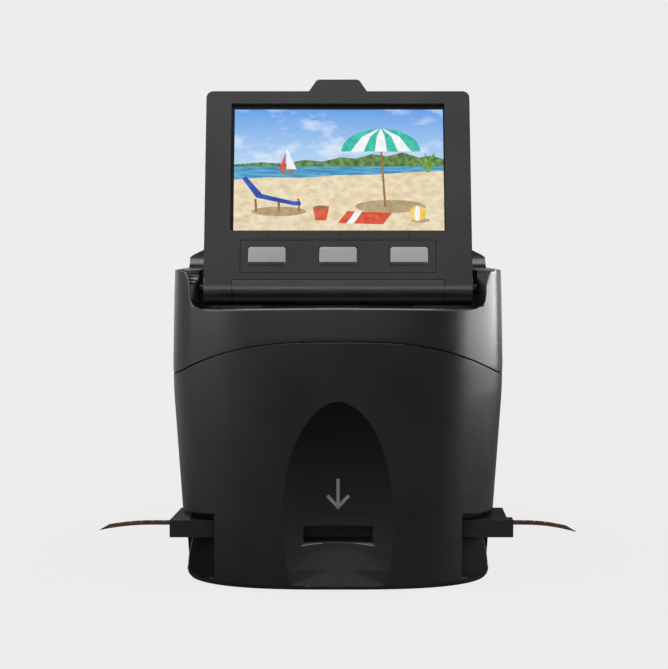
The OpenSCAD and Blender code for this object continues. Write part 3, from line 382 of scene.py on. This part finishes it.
def in_scoop(face):
    """Whether a face of the lower shell lies in the thumb scoop of its front."""
    if face.normal.y > -0.3:
        return False
    for vert in face.verts:
        x, y, z = vert.co / MM
        if y > SCOOP_FRONT or not SCOOP_LOW - 0.3 < z < SCOOP_TOP + 0.3:
            return False
        if z > SCOOP_MID:
            rise = min(1, (z - SCOOP_MID) / (SCOOP_TOP - SCOOP_MID))
            half = SCOOP_HALF * math.sqrt(1 - rise ** 2)
        else:
            fall = (SCOOP_MID - z) / (SCOOP_MID - SCOOP_LOW)
            half = SCOOP_HALF - SCOOP_NARROWER * fall ** 2
        if abs(x) > half + 0.35:
            return False
    return True


def in_recess(face):
    """Whether a face lies in the corner recess under an end of the film holder."""
    places = [vert.co for vert in face.verts]
    inside = all(abs(at.x) > RECESS_X - 0.3 * MM and at.y < RECESS_BACK
                 and RECESS_LOW < at.z < RECESS_HIGH for at in places)
    inner_wall = all(abs(at.x) < RECESS_X + 1.2 * MM for at in places)
    return inside and (face.normal.y < -0.25 or inner_wall)


def on_sill(face):
    """Whether a face is the sloped sill of the film window."""
    x, y, z = face.calc_center_median() / MM
    near = abs(x) < SILL_HALF and y < SILL_FRONT and SILL_LOW < z < SILL_HIGH
    return near and face.normal.z > 0.4


def in_seam(face, facing):
    """Whether a face is the floor or roof of the joint between the two shells."""
    near = all(SEAM_LOW < vert.co.z / MM < SEAM_HIGH for vert in face.verts)
    return near and face.normal.z * facing > 0.6


def lower_finish(face):
    """The scoop is 1, recesses and the floor of the seam 2, the window's sill 3."""
    if on_sill(face):
        return 3
    return 1 if in_scoop(face) else 2 if in_recess(face) or in_seam(face, 1) else 0


def upper_finish(face):
    """The roof of the seam is 1."""
    return 1 if in_seam(face, -1) else 0


def frame_finish(face):
    """The second finish is that of the barrel's ends, below the flat of the frame."""
    return 1 if (ON_SCREEN_BACK @ (face.calc_center_median() / MM)).z < 0 else 0


def grip_finish(face):
    """The holder's end is sanded for grip, on top and outside of the crease."""
    spot = face.calc_center_median() / MM
    return 1 if spot.x < GRIP_X and face.normal.z > 0.7 else 0


def on_rim(edge):
    """Whether an edge runs along the front rim of the hinge well or up its flares."""
    if edge.calc_face_angle(0) < math.radians(35):
        return False
    ends = [vert.co / MM for vert in edge.verts]
    outer = any(0.02 < f.normal.z < 0.12 and f.normal.y < -0.3 for f in edge.link_faces)
    along = all(at.y < RIM_FRONT and at.z > RIM_LOW and abs(at.x) < RIM_HALF for at in ends)
    flare = all(at.y < FLARE_FRONT and at.z > FLARE_LOW and abs(at.x) > FLARE_INNER
                for at in ends)
    return outer and (along or flare)


def softened(name, body, used, edge_mm, sharp=14, chosen=None, crest=None, cut=None,
             clamp=True):
    """A CAD shell with its curves shaded round and its edges broken.

    used: finishes; sharp: the least angle of an edge, in degrees; chosen: gives the number of
    a face's finish; crest: picks edges rounded wider, in the last finish; cut: an x at which
    flat faces are parted; clamp: keeps the broken edges from overlapping."""
    mesh = merged(name, 0.12 if crest else 0.01)
    bmesh.ops.dissolve_limit(mesh, angle_limit=math.radians(0.4), use_dissolve_boundaries=False,
                             verts=mesh.verts, edges=mesh.edges, delimit={"NORMAL"})
    if cut is not None:
        cut_by(mesh, (cut * MM, 0, 0), (1, 0, 0))
    for face in mesh.faces:
        face.material_index = chosen(face) if chosen else 0
    if crest:
        rounded = bmesh.ops.bevel(mesh, geom=[e for e in mesh.edges if crest(e)],
                                  offset=CREST * MM, segments=3, profile=0.5,
                                  affect="EDGES", material=-1)["faces"]
        for face in rounded:
            face.material_index = len(used) - 1
    for face in mesh.faces:
        face.smooth = True
    for edge in mesh.edges:
        edge.smooth = edge.calc_face_angle(0) < math.radians(sharp)
    obj = piece(name + "_skin", mesh, used, body, to_metres=False)
    bevel = obj.modifiers.new("broken_edges", "BEVEL")
    bevel.width = edge_mm * MM
    bevel.segments = 2
    bevel.limit_method = "ANGLE"
    bevel.angle_limit = math.radians(30)
    bevel.harden_normals = True
    bevel.use_clamp_overlap = clamp
    even = obj.modifiers.new("even_shading", "WEIGHTED_NORMAL")
    even.mode = "FACE_AREA_WITH_ANGLE"
    even.keep_sharp = True
    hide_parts(name)


def key_cap(side, looks):
    """A key: rounded cap with a sloped skirt below, flange behind the bezel and plunger."""
    cap = bmesh.new()
    bmesh.ops.create_cube(cap, size=1)
    wide, high = KEY_SIZE
    bmesh.ops.scale(cap, vec=(wide, CAP_BACK - CAP_FRONT, high), verts=cap.verts)
    bmesh.ops.translate(cap, vec=(0, (CAP_BACK + CAP_FRONT) / 2, 0), verts=cap.verts)
    corners = [e for e in cap.edges if abs(e.verts[0].co.y - e.verts[1].co.y) > 0.1]
    bmesh.ops.bevel(cap, geom=corners, offset=CAP_CORNER, segments=5, profile=0.5, affect="EDGES",
                    material=-1)
    slope = cut_by(cap, (0, CAP_FRONT, -high / 2 + SKIRT_H), (0, -0.78, -0.62), True)
    rim = [e for e in slope["geom_cut"] if isinstance(e, bmesh.types.BMEdge)]
    # The sloped face under the cap takes the second finish, a darker grey that is painted shade.
    for face in bmesh.ops.holes_fill(cap, edges=rim, sides=0)["faces"]:
        face.material_index = 1
    edges = [e for e in cap.edges if e.calc_face_angle(0) > math.radians(25)]
    bmesh.ops.bevel(cap, geom=edges, offset=CAP_EDGE, segments=3, profile=0.5, affect="EDGES",
                    material=-1)
    for face in cap.faces:
        face.smooth = True
    flange = bmesh.ops.create_cube(cap, size=1)["verts"]
    bmesh.ops.scale(cap, vec=(wide + FLANGE_WIDER, FLANGE_T, high + FLANGE_HIGHER), verts=flange)
    bmesh.ops.translate(cap, vec=(0, CAP_BACK + FLANGE_T / 2, 0), verts=flange)
    stem = bmesh.ops.create_cone(cap, cap_ends=True, segments=24, radius1=STEM_R,
                                 radius2=STEM_R, depth=STEM_L)["verts"]
    bmesh.ops.rotate(cap, cent=(0, 0, 0), matrix=Matrix.Rotation(math.radians(90), 3, "X"),
                     verts=stem)
    bmesh.ops.translate(cap, vec=(0, CAP_BACK + FLANGE_T + STEM_L / 2 - 0.02, 0),
                        verts=stem)
    bmesh.ops.translate(cap, vec=(side * KEY_PITCH, 0, KEY_MID), verts=cap.verts)
    bmesh.ops.recalc_face_normals(cap, faces=cap.faces)
    name = {-1: "key_left", 0: "key_middle", 1: "key_right"}[side]
    obj = piece(name + "_cap", cap, [looks["keys"], looks["skirt"]], name,
                ON_SCREEN)
    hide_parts(name)


def bar(mesh, start, stop, wide):
    """A flat stroke between two points of a drawing."""
    run = (Vector(stop) - Vector(start)).normalized() * wide / 2
    side = Vector((-run.y, run.x))
    ends = [Vector(start) + side, Vector(start) - side, Vector(stop) - side, Vector(stop) + side]
    mesh.faces.new([mesh.verts.new((p.x, p.y, 0)) for p in ends])


def laid_on(mesh, shell, lift_mm):
    """Presses an upright drawing onto the front of a shell, a little proud of it."""
    for vert in mesh.verts:
        hit = shell.ray_cast(Vector((vert.co.x, -0.1, vert.co.z)), Vector((0, 1, 0)))[0]
        if hit:
            vert.co.y = hit.y - lift_mm * MM


def arrow(ink):
    """The arrow printed in the scoop: it points down at the film window."""
    drawing = bmesh.new()
    bar(drawing, (0, 43.0), (0, 32.2), ARROW_STROKE)
    for side in (-1, 1):
        bar(drawing, (side * 4.0, 36.6), (-side * 0.42, 31.7), ARROW_STROKE)
    bmesh.ops.subdivide_edges(drawing, edges=drawing.edges, cuts=7, use_grid_fill=True)
    bmesh.ops.transform(drawing, matrix=UPRIGHT, verts=drawing.verts)
    bmesh.ops.scale(drawing, vec=(MM, MM, MM), verts=drawing.verts)
    whole = merged("lower_housing")
    laid_on(drawing, BVHTree.FromBMesh(whole), 0.05)
    whole.free()
    piece("scoop_arrow", drawing, [ink], "housing", to_metres=False)


def key_marks(ink):
    """Short strokes over the keys, printed in dark ink."""
    drawing = bmesh.new()
    for x in (-26.5, 0.4, 27.0):
        bar(drawing, (x, 17.4), (x, 19.8), MARK_STROKE)
    piece("key_marks", drawing, [ink], "screen",
          ON_SCREEN @ Matrix.Translation((0, FACE - 0.02, 0)) @ UPRIGHT)


# ---- Picture on the display ----

def patch(points):
    """A flat shape of a few corners, from a list of x and height."""
    mesh = bmesh.new()
    mesh.faces.new([mesh.verts.new((x, w, 0)) for x, w in points])
    return mesh


def disc(x, w, wide, high, segments=28, above=None):
    """A filled oval, or the part of it above a line."""
    mesh = bmesh.new()
    bmesh.ops.create_circle(mesh, cap_ends=True, segments=segments, radius=1)
    bmesh.ops.scale(mesh, vec=(wide, high, 1), verts=mesh.verts)
    bmesh.ops.translate(mesh, vec=(x, w, 0), verts=mesh.verts)
    if above is not None:
        cut_by(mesh, (0, above, 0), (0, -1, 0), True)
    return mesh


def lit(name, mesh, used, layer):
    """A patch of the picture, on one of the thin layers in front of the display glass."""
    depth = GLASS_FRONT - FIRST_LAYER - LAYER * layer
    for face in mesh.faces:
        face.normal_update()
    piece("picture_" + name, mesh, [used], "screen",
          ON_SCREEN @ Matrix.Translation((0, depth, 0)) @ UPRIGHT)


def sky():
    """Blue that pales towards the horizon, with thin clouds."""
    made, tree, shader = backlit("lit_display_sky")
    rise = ranged(tree, axes_of(tree)["Z"], 0.0, 1.0, 160 * MM, 182 * MM)
    blue = between(tree, rise, "#b4d4f2", "#5f9de6", 0.0, 1.0)
    cloud = spots(tree, 13, 5, (0.7, 1, 1.7), 0.6)
    white = ranged(tree, cloud, 0.0, 0.85, 0.52, 0.74)
    tree.links.new(turned(tree, white, blue, "#f2f6fb"), shader.inputs["Emission Color"])
    return made


def picture(dark_glass):
    """A quiet beach with a striped parasol, a deck chair, a sail and a bucket."""
    left, right, low, high = PICTURE
    sand = glowing("lit_display_sand", "#d9c49c", "#f0e3c6", 3.2, (1, 1, 1.6), 0.3, 0.66, 6)
    lit("border", patch([(left - 1.6, low - 1.0), (right + 1.3, low - 1.0),
                         (right + 1.3, high + 2.0), (left - 1.6, high + 2.0)]),
        dark_glass, 0)
    lit("sky", patch([(left, 44), (right, 44), (right, high), (left, high)]), sky(), 1)
    hills = [(left, 46), (right, 46), (right, 50.2), (36, 51.6), (31, 50.8), (25, 52.9), (19, 51.4),
             (13, 52.2), (7, 50.4), (1, 50.9), (-6, 49.2), (-13, 49.9), (-20, 48.3), (-29, 48.9),
             (left, 48.0)]
    lit("headland", patch(hills), glowing("lit_display_green", "#39602f", "#7da05a", 2.0,
        (1, 1, 1), 0.34, 0.66, 5), 2)
    lit("sea", patch([(left, 41.5), (right, 44.5), (right, 47.2), (left, 47.2)]),
        glowing("lit_display_sea", "#3a86bb", "#66b4cf", 2.4, (0.35, 1, 3)), 3)
    shore = [(left, low), (right, low), (right, 45.4), (28, 44.9), (14, 43.9), (0, 43.7),
             (-14, 42.6), (-27, 42.9), (left, 41.9)]
    lit("sand", patch(shore), sand, 4)
    white = glowing("lit_display_white", "#e9eef2", "#fbfcfc", 2.0)
    red = glowing("lit_display_red", "#cf4a34", "#e2644a", 2.0)
    blue = glowing("lit_display_blue", "#24439a", "#3a62c8", 2.6)
    teal = glowing("lit_display_teal", "#2fae9a", "#4fcdb5", 2.4)
    wood = glowing("lit_display_wood", "#8a6238", "#b08350", 1.4)
    shade = glowing("lit_display_shade", "#a8946e", "#bda983", 2.2)
    boat = [(-23, 45.6), (-16.4, 45.6), (-17.4, 44.6), (-22.2, 44.6)]
    lit("boat_hull", patch(boat), wood, 5)
    lit("boat_sail", patch([(-19.7, 46.1), (-19.7, 54.6), (-15.9, 46.1)]), white, 5)
    lit("boat_jib", patch([(-20.1, 46.1), (-20.1, 52.6), (-22.6, 46.1)]), red, 5)
    lit("parasol_shade", disc(20, 31.2, 13.5, 2.6), shade, 5)
    lit("parasol_pole", patch([(17.6, 31), (18.5, 31), (16.6, 58.5), (15.9, 58.5)]), wood, 6)
    mid, brim = 16.5, 53.2
    lit("parasol_top", disc(mid, brim, 15.2, 9.2, 40, brim), teal, 7)
    for number, (inner, outer) in enumerate(((-11.6, -6.6), (-2.4, 2.4), (6.6, 11.6))):
        lit("parasol_stripe_%d" % number,
            patch([(mid + inner, brim), (mid + outer, brim), (mid + outer * 0.62, 59.2),
                   (mid + outer * 0.1, 62.3), (mid + inner * 0.1, 62.3),
                   (mid + inner * 0.62, 59.2)]), white, 8)
    lit("chair_shade", disc(-22.5, 29.2, 10.5, 1.9), shade, 5)
    lit("chair_seat", patch([(-31, 34.6), (-17, 31.6), (-14.2, 31.6), (-14.2, 33.2), (-17, 33.2),
                             (-30.2, 36.4)]), blue, 7)
    lit("chair_back", patch([(-31, 34.4), (-29.2, 36.4), (-35.2, 43.2), (-36.8, 42.4)]), blue, 7)
    for number, x in enumerate((-31.6, -22.8, -15.2)):
        lit("chair_leg_%d" % number, patch([(x, 29), (x + 0.9, 29), (x + 0.5, 34.2),
                                           (x - 0.4, 34.2)]), wood, 6)
    lit("towel", patch([(0, 24.6), (17.2, 24.0), (20.6, 28.6), (3.6, 29.4)]), red, 6)
    lit("towel_band", patch([(3.2, 24.5), (6.0, 24.4), (9.2, 29.1), (6.6, 29.2)]), white, 7)
    lit("ball_shade", disc(31.4, 25.6, 3.6, 0.9), shade, 6)
    lit("ball", disc(30.4, 28.4, 3.1, 3.1), glowing("lit_display_yellow", "#f0b93a", "#f7d268",
        2.0), 7)
    lit("ball_stripe", disc(30.2, 28.4, 1.1, 3.0), white, 8)
    lit("bucket", patch([(-8.6, 25.6), (-4.4, 25.6), (-3.4, 30.8), (-9.6, 30.8)]), red, 7)
    lit("bucket_rim", disc(-6.5, 30.8, 3.1, 0.75), wood, 8)
    lit("grass", patch([(34.2, 44.8), (35.0, 44.8), (39.9, 50.8), (36.2, 48.4), (37.4, 53.4),
                        (34.5, 49.2), (33.4, 53.0), (33.2, 48.6), (30.6, 50.4), (33.0, 46.8)]),
        glowing("lit_display_grass", "#4c7d33", "#8db75a", 1.5), 6)


# ---- Studio ----

def lamp(name, place, aim, size, level):
    """A soft white panel whose face has a plain brightness level; places are in metres."""
    data = bpy.data.lights.new(name, "AREA")
    data.shape = "RECTANGLE"
    data.size, data.size_y = size
    data.energy = level * math.pi * size[0] * size[1]
    obj = bpy.data.objects.new(name, data)
    obj.location = place
    obj.rotation_euler = (Vector(aim) - Vector(place)).to_track_quat("-Z", "Y").to_euler()
    obj.visible_camera = False
    bpy.context.scene.collection.objects.link(obj)


def shown(tree, behind):
    """Where a ray sees the pale background: camera and glass always, gloss where it is behind."""
    seen = put(tree, "ShaderNodeLightPath").outputs
    gloss = worked(tree, "MULTIPLY", seen["Is Glossy Ray"], behind)
    either = worked(tree, "MAXIMUM", seen["Is Camera Ray"], gloss)
    return worked(tree, "MAXIMUM", either, seen["Is Transmission Ray"])


def backdrop():
    """A room that dims to the right and to the back, behind an even pale backdrop."""
    world = bpy.data.worlds.new("studio")
    bpy.context.scene.world = world
    world.use_nodes = True
    tree = world.node_tree
    tree.nodes.clear()
    way = put(tree, "ShaderNodeTexCoord").outputs["Generated"]
    axes = put(tree, "ShaderNodeSeparateXYZ", Vector=way).outputs
    side = ranged(tree, axes["X"], 1.0, 0.22, -0.7, 0.25)
    depth = ranged(tree, axes["Y"], 1.0, 0.25, 0.1, 0.6)
    room = worked(tree, "MULTIPLY", side, depth)
    seen = shown(tree, ranged(tree, axes["Y"], 0.0, 1.0, 0.985, 0.998))
    dim = put(tree, "ShaderNodeCombineColor", Red=room, Green=room, Blue=room).outputs[0]
    glow = put(tree, "ShaderNodeBackground", {"Strength": 1.0},
               Color=turned(tree, seen, dim, BACKDROP))
    put(tree, "ShaderNodeOutputWorld", Surface=glow.outputs[0])


def paper():
    """The floor's finish: paper that takes the shadow near the object, and that further off
    has the even colour of the backdrop."""
    made, tree, shader = finish("matt_paper", Roughness=0.9, Specular_IOR_Level=0.0)
    where = put(tree, "ShaderNodeTexCoord").outputs["Object"]
    across, along, _ = put(tree, "ShaderNodeSeparateXYZ", Vector=where).outputs
    # Paler towards the left, so that the lower left of the housing mirrors some light.
    leftwards = ranged(tree, across, 0.0, 1.0, -0.4, -0.12)
    tree.links.new(between(tree, leftwards, "#c8c8c8", "#6a6a6a", 0.0, 1.0),
                   shader.inputs["Base Color"])
    behind = ranged(tree, along, 0.0, 1.0, 0.5, 1.0)
    away = put(tree, "ShaderNodeVectorMath", {"operation": "LENGTH"}, _0=where).outputs["Value"]
    kept = ranged(tree, away, 0.88, 1.0, PAPER_NEAR, PAPER_FAR)
    level = ranged(tree, away, 0.93, 0.8469, PAPER_NEAR, PAPER_FAR)
    plain = put(tree, "ShaderNodeEmission", {"Color": colour("#ffffff")}, Strength=level)
    share = worked(tree, "MULTIPLY", shown(tree, behind), kept)
    mixed = put(tree, "ShaderNodeMixShader", _0=share, _1=shader.outputs[0], _2=plain.outputs[0])
    tree.links.new(mixed.outputs[0], tree.nodes["Material Output"].inputs["Surface"])
    return made


def paper_floor():
    """The sheet that the scanner stands on, which is no part of it."""
    mesh = bmesh.new()
    bmesh.ops.create_grid(mesh, x_segments=2, y_segments=2, size=6)
    data = bpy.data.meshes.new("floor")
    mesh.to_mesh(data)
    mesh.free()
    data.materials.append(paper())
    floor = bpy.data.objects.new("floor", data)
    bpy.context.scene.collection.objects.link(floor)


def lights():
    """Soft light from above and the left, and a bright flank at the right."""
    lamp("soft_top", (0.0, -0.35, 1.25), aim=(0, 0, 0.1), size=(0.9, 0.8), level=5)
    lamp("panel_left", (-1.2, -0.6, 0.55), aim=(0, 0, 0.3), size=(1.4, 1.1), level=1.2)
    # Low, so that it lights the right side but no edge that faces up.
    lamp("panel_right", (0.72, -0.06, 0.12), aim=(0.05, -0.06, 0.12), size=(0.94, 0.2), level=10)
    # A low strip far in front, seen only in the roll of the hinge barrel.
    lamp("strip_front", (0.0, -1.5, 0.36), aim=(0, 0, 0.11), size=(1.0, 0.16), level=3)


def camera():
    """A long lens, a little above the scanner and looking slightly down."""
    data = bpy.data.cameras.new("camera")
    data.lens = LENS
    data.sensor_width = 36
    data.clip_start = 0.01
    obj = bpy.data.objects.new("camera", data)
    obj.location = CAMERA_AT
    obj.rotation_euler = (math.radians(90 - CAMERA_DIP), 0, 0)
    bpy.context.scene.collection.objects.link(obj)
    bpy.context.scene.camera = obj


def shells(looks):
    """The CAD shells that get a rounded skin."""
    shell, screen_face, holder_plastic = looks["housing"], looks["face"], looks["black"]
    # The upper shell's seam roof takes the recess finish, which is painted shade, and its rounded
    # rim the pale finish, which is a painted highlight.
    softened("upper_housing", "housing", [shell, looks["recess"], looks["painted_highlight"]],
             edge_mm=0.35, chosen=upper_finish, crest=on_rim)
    # In the lower shell the recesses and the seam's floor take painted shade, the scoop painted
    # shade towards its top, and the window's sill a painted highlight.
    # Its edges are broken without a limit, which keeps the lip of the seam crisp.
    softened("lower_housing", "housing",
             [shell, looks["scoop"], looks["recess"], looks["painted_highlight"]],
             edge_mm=0.15, chosen=lower_finish, clamp=False)
    softened("screen_front_frame", "screen", [screen_face, looks["barrel_abs"]],
             edge_mm=0.3, sharp=32, chosen=frame_finish)
    softened("screen_back_cover", "screen", [shell], edge_mm=0.3)
    softened("barrel_cover", "screen", [looks["barrel_abs"]], edge_mm=0.1, sharp=32)
    softened("power_button", "power_button", [looks["keys"]], edge_mm=0.2)
    softened("holder_base", "holder", [holder_plastic], edge_mm=0.12)
    softened("holder_cover", "holder", [holder_plastic, looks["grip"]],
             edge_mm=0.12, chosen=grip_finish, cut=GRIP_X)


bpy.context.scene.view_settings.view_transform = "Standard"
camera()
backdrop()
paper_floor()
lights()
looks_of_all = finishes()
dress(looks_of_all)
shells(looks_of_all)
for key_side in (-1, 0, 1):
    key_cap(key_side, looks_of_all)
arrow(looks_of_all["ink"])
key_marks(looks_of_all["faint_ink"])
picture(looks_of_all["display"])
